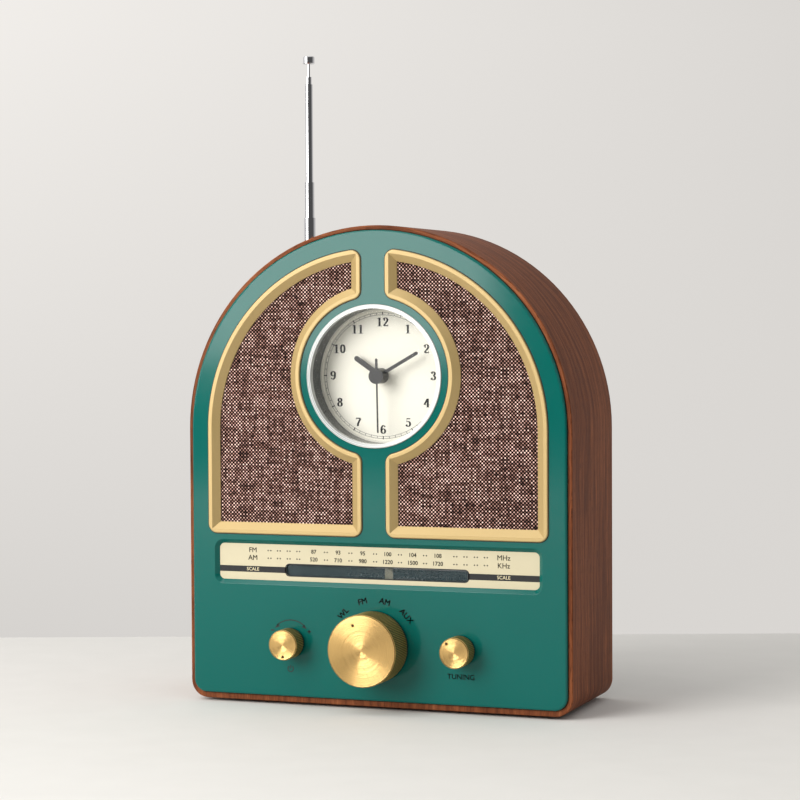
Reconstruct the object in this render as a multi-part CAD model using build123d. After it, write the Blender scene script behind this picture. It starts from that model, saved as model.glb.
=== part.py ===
"""Arch-top clock radio with a wood case, a plastic front, a quartz clock and a geared tuning scale.

Millimetres, +Z up, +X to the right as seen from the front, +Y towards the back.
Everything is drawn with y = 0 at the case's front edge and z = 0 on the table,
and is moved along Y on export so that the origin is under the middle of the radio.
"""
from build123d import *
import math
import os

# Case: a bent wood arch, open at the front and at the back
case_width = 220.0
case_height = 259.2
case_depth = 78.0
case_wall = 8.0
case_corner = 9.7
case_edge_round = 0.7
foot_height = 1.5
foot_radius = 6.0
foot_margin = 25.0
foot_inset = 14.0

# Front panel, set in a rebate in the case's front edge
panel_lip = 2.1
panel_gap = 0.4
panel_bottom_extra = 0.9
panel_proud = 2.0
panel_seat = 1.0
panel_edge_round = 1.2
baffle_thickness = 5.0

# Grille frames and cloth
grille_margin = 12.4
grille_bottom = 91.8
grille_bridge = 13.8
grille_corner = 5.2
frame_band = 6.2
frame_bead = 2.3
frame_proud = 1.0
frame_seam = 0.35
frame_bead_round = 0.7
frame_lip_front = 1.8
cloth_thickness = 0.6
cloth_tuck = 3.0

# Clock
clock_above_spring = 29.1
clock_ring_radius = 38.6
clock_ring_wall = 2.2
clock_ring_proud = 0.7
clock_frame_gap = 4.1
clock_seam = 0.2
lens_thickness = 1.4
lens_recess = 0.4
dial_depth = 14.4
dial_thickness = 0.8
dial_rim = 1.2
dial_rim_height = 0.8
movement_size = 56.0
movement_depth = 16.0
hour_hand_margin = 17.2
hour_hand_width = 2.8
hour_hand_angle = 304.0
minute_hand_margin = 9.5
minute_hand_width = 1.8
minute_hand_angle = 60.5
second_hand_margin = 4.6
second_hand_width = 0.8
second_hand_tail = 9.5
second_hand_angle = 179.0
hand_boss_radius = 4.2
hand_boss_height = 2.7
hand_boss_gap = 0.3
hand_front_depth = 3.6
hour_pipe_radius = 2.5
minute_arbor_radius = 1.6
second_arbor_radius = 0.6
setter_offset = 14.0
setter_stem_radius = 2.0
setter_knob_radius = 7.0
setter_knob_thickness = 2.4

# Tuning scale
window_margin = 15.7
window_height = 24.2
window_centre = 76.3
window_corner = 5.0
window_slope = 2.2
window_edge_round = 0.4
scale_thickness = 0.8
scale_margin = 2.8
slot_length = 105.6
slot_height = 6.3
slot_centre = 72.35
slot_corner = 2.4
smoked_thickness = 1.0
pointer_width = 4.5
pointer_rest = 6.5
pointer_travel = 76.0
pointer_gap = 0.6
pointer_thickness = 1.5

# Controls
control_height = 33.0
control_spacing = 49.0
selector_diameter = 38.7
selector_stand = 20.0
small_knob_diameter = 16.4
small_knob_stand = 11.7
knob_float = 0.7
knob_chamfer = 0.4
selector_dot_radius = 14.3
selector_dot_angle = -20.0
small_dot_radius = 6.4
dot_size = 0.75
dot_depth = 0.5
shaft_radius = 3.0
bush_radius = 3.6
nut_across_flats = 10.0
nut_thickness = 2.2
nut_recess = 6.9
control_body_radius = 8.5
control_body_depth = 11.0
switch_body_radius = 13.0
switch_body_depth = 14.0

# Gear train from the tuning shaft to the scale pointer
gear_module = 0.8
pinion_teeth = 16
idler_teeth = 20
drum_teeth = 60
pressure_angle = 20.0
addendum_share = 0.75
dedendum_share = 1.25
backlash = 0.14
gear_face = 3.0
gear_depth = 28.0
drum_offset = 6.0
rack_bar = 3.0
rack_below_slot = 4.75
rail_radius = 1.5
plate_thickness = 1.5
post_radius = 2.5
tuner_body = 20.0
tuner_body_depth = 12.0

# Speakers
speaker_radius = 32.0
speaker_height = 127.0
speaker_depth = 26.0
magnet_radius = 20.0
magnet_depth = 9.0
speaker_wall_gap = 5.0

# Back
rear_rebate = 5.0
cover_thickness = 3.0
cover_recess = 1.5
cover_gap = 0.3
screw_radius = 1.3
screw_head_radius = 2.3
screw_head_height = 1.3
screw_length = 12.0
door_width = 70.0
door_height = 26.0
door_centre = 118.0
door_gap = 0.3
cell_radius = 7.25
cell_length = 50.5
board_height = 12.0
board_thickness = 1.6
jack_height = 20.0
dc_jack_offset = 64.0
aux_jack_offset = 42.0
aux_bore_radius = 1.8
dc_bore_radius = 2.9
dc_pin_radius = 1.0
jack_collar_radius = 4.4
vent_width = 60.0
vent_height = 5.0
vent_pitch = 10.0
vent_count = 4
vent_centre = 60.0

# Telescopic antenna behind the case
mast_offset = -73.0
mast_stand = 7.0
mast_pivot = 148.5
mast_base_top = 267.7
mast_radii = (3.5, 2.9, 2.3, 1.7, 0.8)
mast_lengths = (104.0, 101.0, 98.0, 95.0)
mast_shows = (20.5, 56.5, 4.3, 7.4)
mast_tip_radius = 3.5
mast_tip_height = 4.4
tongue_half = 1.5
ear_radius = 4.0
ear_thickness = 1.8
pin_radius = 1.25
swivel_disc_radius = 7.0
swivel_stub_radius = 3.0
bracket_radius = 9.0

# Fits
running = 0.05
slip = 0.08
side_play = 0.15
hole_clearance = 0.3

# Places worked out from the sizes above
half = case_width / 2
spring = foot_height + case_height - half
inner_half = half - case_wall
panel_inset = panel_lip + panel_gap
panel_face = -panel_proud
frame_face = panel_face - frame_proud
baffle_front = panel_seat
baffle_back = panel_seat + baffle_thickness
clock_z = spring + clock_above_spring
window_z = foot_height + window_centre
slot_z = foot_height + slot_centre
control_z = foot_height + control_height
dial_face = panel_face + dial_depth
dial_radius = clock_ring_radius - clock_ring_wall - dial_rim
movement_front = dial_face + dial_thickness
movement_back = movement_front + movement_depth
cover_back = case_depth - cover_recess
cover_front = cover_back - cover_thickness
mast_y = case_depth + mast_stand
mast_z = foot_height + mast_pivot
pinion_radius = gear_module * pinion_teeth / 2
idler_radius = gear_module * idler_teeth / 2
drum_radius = gear_module * drum_teeth / 2
rack_pitch_z = slot_z - rack_below_slot
drum_z = rack_pitch_z - drum_radius
gear_back = gear_depth + gear_face
plate_front = gear_back + 1.5
rail_z = rack_pitch_z + gear_module * dedendum_share + rack_bar + rail_radius + 2.0
rail_y = gear_depth + gear_face / 2
front_extent = panel_face - selector_stand
back_extent = mast_y + ear_radius
centre_y = (front_extent + back_extent) / 2


def upright(sketch, y_front, y_back):
    """Stand a flat X-Z sketch upright and give it depth from y_front to y_back."""
    plane = Plane(origin=(0, y_back, 0), x_dir=(1, 0, 0), z_dir=(0, -1, 0))
    return extrude(plane * sketch, amount=y_back - y_front)


def rod(x, z, radius, y_front, y_back):
    """Cylinder along Y."""
    return upright(Pos(x, z) * Circle(radius), y_front, y_back)


def block(x0, x1, y0, y1, z0, z1):
    """Box between two corners."""
    middle = Pos((x0 + x1) / 2, (y0 + y1) / 2, (z0 + z1) / 2)
    return middle * Box(x1 - x0, y1 - y0, z1 - z0)


def arch_outline(side, bottom):
    """Straight sides from bottom up to the spring line, with a half circle on top."""
    straight = spring - bottom
    outline = Pos(0, bottom + straight / 2) * Rectangle(2 * side, straight)
    cap = Pos(0, spring) * Circle(side) & Pos(0, spring + side) * Rectangle(4 * side, 2 * side)
    return outline + cap


def arch(inset, bottom_extra=0.0, corner=0.0):
    """Round-topped outline, in from the case's outside by inset."""
    outline = arch_outline(half - inset, foot_height + inset + bottom_extra)
    if corner > 0:
        outline = fillet(outline.vertices().sort_by(Axis.Y)[:2], corner)
    return outline


def polar(radius, degrees):
    """Point at a clockwise angle from twelve o'clock."""
    turn = math.radians(degrees)
    return radius * math.sin(turn), radius * math.cos(turn)


# Case and front

def case_shell():
    rear_corner = max(case_corner - case_wall + rear_rebate, 1.0)
    shell = upright(arch(0, corner=case_corner), 0, case_depth)
    for y in (0, case_depth):
        shell = fillet(shell.edges().filter_by_position(Axis.Y, y - 0.01, y + 0.01), case_edge_round)
    shell -= upright(arch(case_wall, corner=max(case_corner - case_wall, 1.0)), -1, case_depth + 1)
    shell -= upright(arch(panel_lip, panel_bottom_extra, case_corner - panel_lip), -1, panel_seat)
    shell -= upright(arch(case_wall - rear_rebate, corner=rear_corner), cover_front, case_depth + 1)
    for x, z in screw_places():
        shell -= rod(x, z, screw_radius, cover_front - screw_length, cover_front + 1)
    return shell


def screw_places():
    """Screw centres, in the middle of the ledge that the rear cover lies on."""
    side = inner_half + rear_rebate / 2
    low = foot_height + case_wall - rear_rebate / 2
    places = [(sign * side, z) for sign in (-1, 1) for z in (low + 22.0, spring - 12.0)]
    places += [(sign * 0.45 * half, low) for sign in (-1, 1)]
    for degrees in (-48.0, 0.0, 48.0):
        x, z = polar(side, degrees)
        places.append((x, spring + z))
    return places


def grille_region(side, grow=0.0):
    """Sharp-cornered outline of one grille frame, made larger all round by grow."""
    outer = half - grille_margin + grow
    low = foot_height + grille_bottom - grow
    inner = grille_bridge / 2 - grow
    keep = Pos(side * (inner + outer), spring) * Rectangle(2 * outer, 2 * case_height)
    region = arch_outline(outer, low) & keep
    return region - Pos(0, clock_z) * Circle(clock_ring_radius + clock_frame_gap - grow)


def shortest_side(side, grow):
    """Length of the shortest side of the sharp-cornered grille outline."""
    return min(edge.length for edge in grille_region(side, grow).edges())


def grille_block(side, grow, y_front, y_back):
    """Grille outline as a solid with its corners rounded."""
    body = upright(grille_region(side, grow), y_front, y_back)
    corners = [e for e in body.edges().filter_by(Axis.Y) if abs(e.center().Z - spring) > 0.5]
    return fillet(corners, min(grille_corner + grow, 0.45 * shortest_side(side, grow)))


def grille_frame(side):
    body = grille_block(side, 0.0, frame_face, baffle_front)
    front_edges = body.edges().filter_by_position(Axis.Y, frame_face - 0.01, frame_face + 0.01)
    body = fillet(front_edges, min(frame_bead_round, 0.28 * shortest_side(side, 0.0)))
    lip_y = panel_face + frame_lip_front
    plane_top = Plane(origin=(0, frame_face - 0.01, 0), x_dir=(1, 0, 0), z_dir=(0, -1, 0))
    plane_lip = Plane(origin=(0, lip_y, 0), x_dir=(1, 0, 0), z_dir=(0, -1, 0))
    wide = plane_top * grille_region(side, -frame_bead)
    narrow = plane_lip * grille_region(side, -frame_band)
    body -= loft([narrow.face(), wide.face()], ruled=True)
    body -= upright(grille_region(side, -frame_band), lip_y - 0.01, baffle_front + 1)
    tuck = grille_region(side, cloth_tuck - frame_band)
    return body - upright(tuck, baffle_front - cloth_thickness, baffle_front + 1)


def grille_cloth(side):
    tuck = grille_region(side, cloth_tuck - frame_band)
    return upright(tuck, baffle_front - cloth_thickness, baffle_front)


def window_outline(shrink, corner):
    """Outline of the scale window, made smaller all round by shrink."""
    wide = 2 * (half - window_margin - shrink)
    return Pos(0, window_z) * RectangleRounded(wide, window_height - 2 * shrink, corner)


def front_panel():
    panel = upright(arch(panel_inset, panel_bottom_extra, case_corner - panel_inset), panel_face, panel_seat)
    edges = panel.edges().filter_by_position(Axis.Y, panel_face - 0.01, panel_face + 0.01)
    panel = fillet(edges, panel_edge_round)
    for side in (-1, 1):
        panel -= grille_block(side, frame_seam, panel_face - 1, panel_seat + 1)
    panel -= rod(0, clock_z, clock_ring_radius + clock_seam, panel_face - 1, panel_seat + 1)
    pocket_y = panel_seat - scale_thickness
    front = Plane(origin=(0, panel_face - 0.01, 0), x_dir=(1, 0, 0), z_dir=(0, -1, 0))
    deep = Plane(origin=(0, pocket_y, 0), x_dir=(1, 0, 0), z_dir=(0, -1, 0))
    small = deep * window_outline(window_slope, window_corner - window_slope)
    large = front * window_outline(0, window_corner)
    panel -= loft([small.face(), large.face()], ruled=True)
    mouth = [e for e in panel.edges().filter_by_position(Axis.Y, panel_face - 0.01, panel_face + 0.01)
             if abs(e.center().Z - window_z) < window_height / 2 + 0.1]
    panel = fillet([e for e in mouth if abs(e.center().X) < half - window_margin + 0.1], window_edge_round)
    pocket = window_outline(window_slope - scale_margin - running, window_corner)
    panel -= upright(pocket, pocket_y, panel_seat + 1)
    for x in (-control_spacing, 0, control_spacing):
        panel -= rod(x, control_z, nut_recess, panel_face - 1, panel_seat + 1)
    return panel


def baffle_board():
    board = upright(arch(case_wall, corner=max(case_corner - case_wall, 1.0)), baffle_front, baffle_back)
    for side in (-1, 1):
        board -= rod(side * speaker_x(), speaker_z(), speaker_radius - 4, 0, baffle_back + 1)
    board -= rod(0, clock_z, clock_ring_radius, 0, baffle_back + 1)
    opening = Pos(0, slot_z) * Rectangle(slot_length + 12, slot_height + 8)
    board -= upright(opening, 0, baffle_back + 1)
    for x in (-control_spacing, 0, control_spacing):
        board -= rod(x, control_z, bush_radius, 0, baffle_back + 1)
    return board


# Clock

def clock_bezel():
    face = panel_face - clock_ring_proud
    ring = rod(0, clock_z, clock_ring_radius, face, baffle_front)
    rounded = ring.edges().filter_by_position(Axis.Y, face - 0.01, face + 0.01)
    ring = fillet(rounded, 0.6)
    return ring - rod(0, clock_z, clock_ring_radius - clock_ring_wall, face - 1, baffle_front + 1)


def clock_lens():
    face = panel_face - clock_ring_proud + lens_recess
    return rod(0, clock_z, clock_ring_radius - clock_ring_wall, face, face + lens_thickness)


def clock_tunnel():
    tube = rod(0, clock_z, clock_ring_radius, baffle_front, dial_face)
    bore = rod(0, clock_z, clock_ring_radius - clock_ring_wall, 0, dial_face + 1)
    flange = rod(0, clock_z, clock_ring_radius + 3, baffle_back, baffle_back + 2)
    return tube + flange - bore


def clock_dial():
    dial = rod(0, clock_z, clock_ring_radius, dial_face, movement_front)
    rim = rod(0, clock_z, dial_radius + dial_rim - running, dial_face - dial_rim_height, dial_face)
    rim -= rod(0, clock_z, dial_radius, dial_face - dial_rim_height - 1, dial_face + 1)
    return dial + rim - rod(0, clock_z, hour_pipe_radius + hole_clearance, 0, movement_front + 1)


def clock_movement():
    side = movement_size / 2
    body = block(-side, side, movement_front, movement_back, clock_z - side, clock_z + side)
    body = fillet(body.edges().filter_by(Axis.Y), 3)
    body -= rod(0, clock_z, hour_pipe_radius + running, 0, movement_back - 2)
    return body - rod(setter_offset, clock_z, setter_stem_radius + running, movement_back - 6, movement_back + 1)


def hand(level, blade, arbor, bore):
    """One hand: a boss at its level, a blade, and the arbor that it turns on."""
    front = panel_face + hand_front_depth + level * (hand_boss_height + hand_boss_gap)
    back = front + hand_boss_height
    piece = rod(0, clock_z, hand_boss_radius, front, back)
    piece += rod(0, clock_z, arbor, front, movement_back - 3 - 2 * level)
    blade_front = front + hand_boss_height * 0.35
    piece += upright(blade, blade_front, blade_front + 0.6)
    if bore > 0:
        piece -= rod(0, clock_z, bore + running, front - 1, movement_back)
    return piece


def bar(length, width, degrees):
    """Flat bar with round ends, pointing at a clockwise angle from twelve o'clock."""
    strip = Pos(0, length / 2) * SlotOverall(length, width, rotation=90)
    return Pos(0, clock_z) * Rot(0, 0, -degrees) * strip


def second_hand():
    needle = bar(dial_radius - second_hand_margin, second_hand_width, second_hand_angle)
    tail = bar(second_hand_tail, 1.6 * second_hand_width, second_hand_angle + 180)
    return hand(0, needle + tail, second_arbor_radius, 0)


def minute_hand():
    blade = bar(dial_radius - minute_hand_margin, minute_hand_width, minute_hand_angle)
    return hand(1, blade, minute_arbor_radius, second_arbor_radius)


def hour_hand():
    blade = bar(dial_radius - hour_hand_margin, hour_hand_width, hour_hand_angle)
    return hand(2, blade, hour_pipe_radius, minute_arbor_radius)


def clock_set_knob():
    stem = rod(setter_offset, clock_z, setter_stem_radius, movement_back - 5.8, cover_back + 1)
    face = cover_back + 0.4
    head = rod(setter_offset, clock_z, setter_knob_radius, face, face + setter_knob_thickness)
    for step in range(18):
        x, z = polar(setter_knob_radius, 20 * step)
        head -= rod(setter_offset + x, clock_z + z, 0.5, face - 1, face + setter_knob_thickness + 1)
    return stem + head


# Scale and pointer

def slot_outline(grow=0.0):
    shape = RectangleRounded(slot_length + 2 * grow, slot_height + 2 * grow, slot_corner)
    return Pos(0, slot_z) * shape


def scale_plate():
    outline = window_outline(window_slope - scale_margin, window_corner)
    plate = upright(outline, panel_seat - scale_thickness, panel_seat)
    return plate - upright(slot_outline(), 0 - scale_thickness, panel_seat + 1)


def scale_window():
    return upright(slot_outline(2.0), panel_seat, panel_seat + smoked_thickness)


def pointer_span():
    """Ends of the rack, measured from the pointer: it stays on the drum over the whole travel."""
    reach = pointer_travel / 2
    return drum_offset - reach - 5.0, drum_offset + reach + 5.0


def pointer_rack():
    pitch = math.pi * gear_module
    root = rack_pitch_z + gear_module * dedendum_share
    top = root + rack_bar
    left, right = (pointer_rest + end for end in pointer_span())
    piece = block(left, right, gear_depth, gear_back, root, top)
    share = math.tan(math.radians(pressure_angle))
    ahead = (90 - drum_phase()) * drum_teeth / 360 * pitch
    tip = rack_pitch_z - gear_module * addendum_share
    first = math.ceil((left - drum_offset - ahead) / pitch)
    last = math.floor((right - drum_offset - ahead) / pitch)
    for count in range(first, last):
        x = drum_offset + ahead + (count + 0.5) * pitch
        wide = pitch / 4 - backlash / 2 + share * (root - rack_pitch_z)
        narrow = pitch / 4 - backlash / 2 - share * (rack_pitch_z - tip)
        corners = [(x - wide, root + 0.5), (x + wide, root + 0.5), (x + wide, root)]
        corners += [(x + narrow, tip), (x - narrow, tip), (x - wide, root)]
        piece += upright(make_face(Polyline(corners, close=True)), gear_depth, gear_back)
    for x in (left, right - 5):
        eye = block(x, x + 5, gear_depth - 1, gear_back + 1, root, rail_z + rail_radius + 2)
        piece += eye
    spine = Pos(0, rail_y, rail_z) * Rot(0, 90, 0) * Cylinder(rail_radius + running, 2 * case_width)
    piece -= spine
    finger_front = panel_seat + smoked_thickness + pointer_gap
    tall = slot_height / 2 + 0.6
    x = pointer_rest
    side = pointer_width / 2
    piece += block(x - side, x + side, finger_front, finger_front + pointer_thickness, slot_z - tall, slot_z + tall)
    return piece + block(x - 1.5, x + 1.5, finger_front + 1, gear_depth + 0.5, root, top)


def pointer_rail():
    length = 2 * (inner_half - 7.0)
    return Pos(0, rail_y, rail_z) * Rot(0, 90, 0) * Cylinder(rail_radius, length)


def rail_brackets():
    spine = Pos(0, rail_y, rail_z) * Rot(0, 90, 0) * Cylinder(rail_radius, 2 * (inner_half - 7.0))
    pair = []
    for side in (-1, 1):
        x = side * (inner_half - 7.5)
        pair.append(block(x - 2, x + 2, baffle_back, rail_y + 4, rail_z - 4, rail_z + 4) - spine)
    return Compound(pair)


# Gears

def involute_gear(teeth, x, z, phase, y_front, y_back):
    """Spur gear whose first tooth points at phase, anticlockwise from +X as seen from the front."""
    pitch_r = gear_module * teeth / 2
    base_r = pitch_r * math.cos(math.radians(pressure_angle))
    tip_r = pitch_r + gear_module * addendum_share
    root_r = pitch_r - gear_module * dedendum_share
    half_tooth = math.pi / (2 * teeth) - backlash / (2 * pitch_r)
    at_pitch = math.tan(math.radians(pressure_angle)) - math.radians(pressure_angle)
    flank = [(root_r, half_tooth + at_pitch)]
    steps = 4
    start = max(base_r, root_r)
    for step in range(steps + 1):
        radius = start + (tip_r - start) * step / steps
        roll = math.sqrt(max((radius / base_r) ** 2 - 1, 0))
        flank.append((radius, half_tooth + at_pitch - (roll - math.atan(roll))))
    points = []
    for tooth in range(teeth):
        middle = math.radians(phase) + 2 * math.pi * tooth / teeth
        for radius, spread in flank:
            points.append((radius * math.cos(middle - spread), radius * math.sin(middle - spread)))
        for radius, spread in reversed(flank):
            points.append((radius * math.cos(middle + spread), radius * math.sin(middle + spread)))
    outline = make_face(Polyline(points, close=True))
    return upright(Pos(x, z) * outline, y_front, y_back)


def mesh_phase(teeth_a, phase_a, heading, teeth_b):
    """Phase of gear B that puts its gap on gear A's tooth, with B at heading degrees from A."""
    step_a = 360 / teeth_a
    step_b = 360 / teeth_b
    return heading + 180 - step_b * (0.5 - (heading - phase_a) / step_a)


def idler_place():
    """Centre of the idler, touching both the pinion and the drum, on the lower side."""
    px, pz = control_spacing, control_z
    gap = math.hypot(px - drum_offset, pz - drum_z)
    far = drum_radius + idler_radius
    near = pinion_radius + idler_radius
    along = (far ** 2 - near ** 2 + gap ** 2) / (2 * gap)
    across = math.sqrt(max(far ** 2 - along ** 2, 0))
    ux, uz = (px - drum_offset) / gap, (pz - drum_z) / gap
    return drum_offset + along * ux + across * uz, drum_z + along * uz - across * ux


def idler_phase():
    x, z = idler_place()
    heading = math.degrees(math.atan2(z - control_z, x - control_spacing))
    return mesh_phase(pinion_teeth, 0.0, heading, idler_teeth)


def drum_phase():
    x, z = idler_place()
    heading = math.degrees(math.atan2(drum_z - z, drum_offset - x))
    return mesh_phase(idler_teeth, idler_phase(), heading, drum_teeth)


def tuning_shaft():
    front = panel_face - small_knob_stand + 2.5
    shaft = rod(control_spacing, control_z, shaft_radius, front, gear_depth)
    shaft += involute_gear(pinion_teeth, control_spacing, control_z, 0.0, gear_depth, gear_back)
    return shaft + rod(control_spacing, control_z, 2.0, gear_back, plate_front + plate_thickness)


def idler_gear():
    x, z = idler_place()
    gear = involute_gear(idler_teeth, x, z, idler_phase(), gear_depth, gear_back)
    return gear - rod(x, z, 2.0 + running, gear_depth - 1, gear_back + 1)


def capacitor_gear():
    gear = involute_gear(drum_teeth, drum_offset, drum_z, drum_phase(), gear_depth, gear_back)
    for step in range(5):
        x, z = polar(0.6 * drum_radius, 72 * step)
        gear -= rod(drum_offset + x, drum_z + z, 0.2 * drum_radius, gear_depth - 1, gear_back + 1)
    gear += rod(drum_offset, drum_z, 5.0, gear_depth - 1, gear_back + 1)
    return gear + rod(drum_offset, drum_z, shaft_radius, gear_depth - 1, plate_front + plate_thickness + 6)


def tuner_plate():
    ix, iz = idler_place()
    left = drum_offset - drum_radius - 6
    right = control_spacing + 13
    low = min(control_z, drum_z) - 12
    high = drum_z + 14
    back = plate_front + plate_thickness
    plate = block(left - 4, right + 4, plate_front, back, low - 4, high + 4)
    for x in (left, right):
        for z in (low, high):
            plate += rod(x, z, post_radius, baffle_back, plate_front)
    plate += rod(ix, iz, 2.0, gear_depth - 0.6, plate_front)
    plate -= rod(control_spacing, control_z, 2.0 + running, plate_front - 1, back + 1)
    return plate - rod(drum_offset, drum_z, shaft_radius + hole_clearance, plate_front - 1, back + 1)


def tuning_capacitor():
    side = tuner_body / 2
    front = plate_front + plate_thickness
    body = block(drum_offset - side, drum_offset + side, front, front + tuner_body_depth,
                 drum_z - side, drum_z + side)
    body = fillet(body.edges().filter_by(Axis.Y), 1.5)
    return body - rod(drum_offset, drum_z, shaft_radius + running, front - 1, front + 7)


# Controls

def knob(x, diameter, stand, dot_reach, dot_angle):
    """Turned knob with a marker dimple, bored for its shaft."""
    face = panel_face - stand
    piece = rod(x, control_z, diameter / 2, face, panel_face - knob_float)
    edges = piece.edges().filter_by_position(Axis.Y, face - 0.01, face + 0.01)
    piece = chamfer(edges, knob_chamfer)
    dx, dz = polar(dot_reach, dot_angle)
    piece -= rod(x + dx, control_z + dz, dot_size, face - 1, face + dot_depth)
    return piece - rod(x, control_z, shaft_radius, face + 2.5, panel_face + 1)


def control_shaft(x, stand, reach):
    return rod(x, control_z, shaft_radius, panel_face - stand + 2.5, baffle_back + reach)


def bush(x, body_radius, body_depth):
    """Body of a control behind the baffle, with the bush that its nut holds."""
    piece = rod(x, control_z, body_radius, baffle_back, baffle_back + body_depth)
    piece += rod(x, control_z, bush_radius, baffle_front - nut_thickness, baffle_back)
    return piece - rod(x, control_z, shaft_radius + running, panel_face, baffle_back + body_depth - 2)


def tuning_bush():
    piece = rod(control_spacing, control_z, control_body_radius, baffle_back, baffle_back + 3)
    piece += rod(control_spacing, control_z, bush_radius, baffle_front - nut_thickness, baffle_back + 8)
    return piece - rod(control_spacing, control_z, shaft_radius + running, panel_face, gear_depth)


def control_nuts():
    nuts = []
    for x in (-control_spacing, 0, control_spacing):
        outline = RegularPolygon(nut_across_flats / 2, 6, major_radius=False) - Circle(bush_radius)
        nuts.append(upright(Pos(x, control_z) * outline, baffle_front - nut_thickness, baffle_front))
    return Compound(nuts)


# Speakers

def speaker_x():
    return inner_half - speaker_wall_gap - speaker_radius


def speaker_z():
    return foot_height + speaker_height


def cone_solid(side, big, small, y_front, y_back):
    front = Plane(origin=(0, y_front, 0), x_dir=(1, 0, 0), z_dir=(0, -1, 0))
    back = Plane(origin=(0, y_back, 0), x_dir=(1, 0, 0), z_dir=(0, -1, 0))
    place = Pos(side * speaker_x(), speaker_z())
    return loft([(back * place * Circle(small)).face(), (front * place * Circle(big)).face()])


def speaker_frame(side):
    x, z = side * speaker_x(), speaker_z()
    throat = speaker_depth - magnet_depth
    frame = rod(x, z, speaker_radius, baffle_back, baffle_back + 1.5)
    frame += cone_solid(side, speaker_radius - 2, magnet_radius, baffle_back, baffle_back + throat)
    frame -= cone_solid(side, speaker_radius - 3.5, magnet_radius - 1.5, baffle_back - 0.01, baffle_back + throat - 1)
    frame -= rod(x, z, 8.2, baffle_back, baffle_back + throat + 1)
    for step in range(4):
        dx, dz = polar(speaker_radius - 9, 45 + 90 * step)
        frame -= rod(x + dx, z + dz, 5.0, baffle_back + 3, baffle_back + throat - 2)
    return frame


def speaker_cone(side):
    x, z = side * speaker_x(), speaker_z()
    deep = speaker_depth - magnet_depth - 4
    cone = cone_solid(side, speaker_radius - 3.6, 9.0, baffle_back, baffle_back + deep)
    cone -= cone_solid(side, speaker_radius - 4.6, 8.0, baffle_back - 0.01, baffle_back + deep - 0.6)
    return cone + rod(x, z, 7.5, baffle_back + deep - 0.6, baffle_back + deep + 3.6)


def speaker_magnet(side):
    x, z = side * speaker_x(), speaker_z()
    front = baffle_back + speaker_depth - magnet_depth
    return rod(x, z, magnet_radius, front, front + magnet_depth)


# Electronics

def main_board():
    back = cover_front
    low = foot_height + case_wall
    z = foot_height + board_height
    reach = min(inner_half - 22, 80)
    board = block(-reach, reach, back - 34, back - 1, z, z + board_thickness)
    for x in (-reach + 6, reach - 6):
        for y in (back - 29, back - 6):
            board += Pos(x, y, (low + z) / 2) * Cylinder(2.5, z - low)
    return board


def board_parts():
    z = foot_height + board_height + board_thickness
    back = cover_front
    radio = block(-50, -30, back - 30, back - 12, z, z + 2.4)
    amplifier = block(-15, 5, back - 26, back - 20, z, z + 16)
    cans = [Pos(x, back - 16, z + 6) * Cylinder(4, 12) for x in (14, 24)]
    return Compound([radio, amplifier] + cans)


def jack(x, half_width, bore, pin):
    """Board-mounted socket whose collar fills a hole in the rear cover."""
    low = foot_height + board_height + board_thickness
    z = foot_height + jack_height
    body = block(x - half_width, x + half_width, cover_front - 13, cover_front, low, z + jack_collar_radius + 1)
    body += rod(x, z, jack_collar_radius, cover_front, cover_back)
    body -= rod(x, z, bore, cover_front - 11, cover_back + 1)
    if pin > 0:
        body += rod(x, z, pin, cover_front - 12, cover_back - 1)
    return body


def ferrite_rod():
    z = clock_z + clock_ring_radius + 9
    bar_piece = Pos(0, baffle_back + 9, z) * Rot(0, 90, 0) * Cylinder(4, 76)
    for x in (-30, 30):
        clip = block(x - 2, x + 2, baffle_back, baffle_back + 9, z - 4.5, z + 4.5)
        bar_piece += clip
    return bar_piece


def ferrite_coil():
    z = clock_z + clock_ring_radius + 9
    place = Pos(0, baffle_back + 9, z) * Rot(0, 90, 0)
    return place * (Cylinder(4.9, 26) - Cylinder(4, 30))


# Back

def vent_rows():
    """Heights of the vent slots' middles."""
    middle = foot_height + vent_centre
    return [middle + (index - (vent_count - 1) / 2) * vent_pitch for index in range(vent_count)]


def rear_cover():
    outline = arch(case_wall - rear_rebate + cover_gap, corner=max(case_corner - case_wall + rear_rebate, 1.0))
    cover = upright(outline, cover_front, cover_back)
    door = Pos(0, foot_height + door_centre) * RectangleRounded(door_width, door_height, 2)
    cover -= upright(door, cover_front - 1, cover_back + 1)
    for z in vent_rows():
        cover -= upright(Pos(0, z) * SlotOverall(vent_width, vent_height), cover_front - 1, cover_back + 1)
    for x in (dc_jack_offset, aux_jack_offset):
        cover -= rod(x, foot_height + jack_height, jack_collar_radius + running, cover_front - 1, cover_back + 1)
    cover -= rod(setter_offset, clock_z, setter_stem_radius + hole_clearance, cover_front - 1, cover_back + 1)
    cover -= rod(mast_offset, mast_z, swivel_stub_radius + 2.5, cover_front - 1, cover_back + 1)
    for x, z in screw_places():
        cover -= rod(x, z, screw_radius, cover_front - 1, cover_back + 1)
    return cover


def cover_screws():
    screws = []
    for x, z in screw_places():
        head = rod(x, z, screw_head_radius, cover_back, cover_back + screw_head_height)
        slot = Pos(x, z) * (Rectangle(2.8, 0.7) + Rectangle(0.7, 2.8))
        head -= upright(slot, cover_back + 0.5, cover_back + 3)
        screws.append(head + rod(x, z, screw_radius, cover_front - screw_length + 1, cover_back))
    return Compound(screws)


def battery_door():
    outline = Pos(0, foot_height + door_centre) * RectangleRounded(
        door_width - 2 * door_gap, door_height - 2 * door_gap, 2 - door_gap)
    door = upright(outline, cover_back - 2, cover_back)
    grip = Pos(0, foot_height + door_centre) * Circle(7)
    return door - upright(grip, cover_back - 0.8, cover_back + 1)


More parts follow.
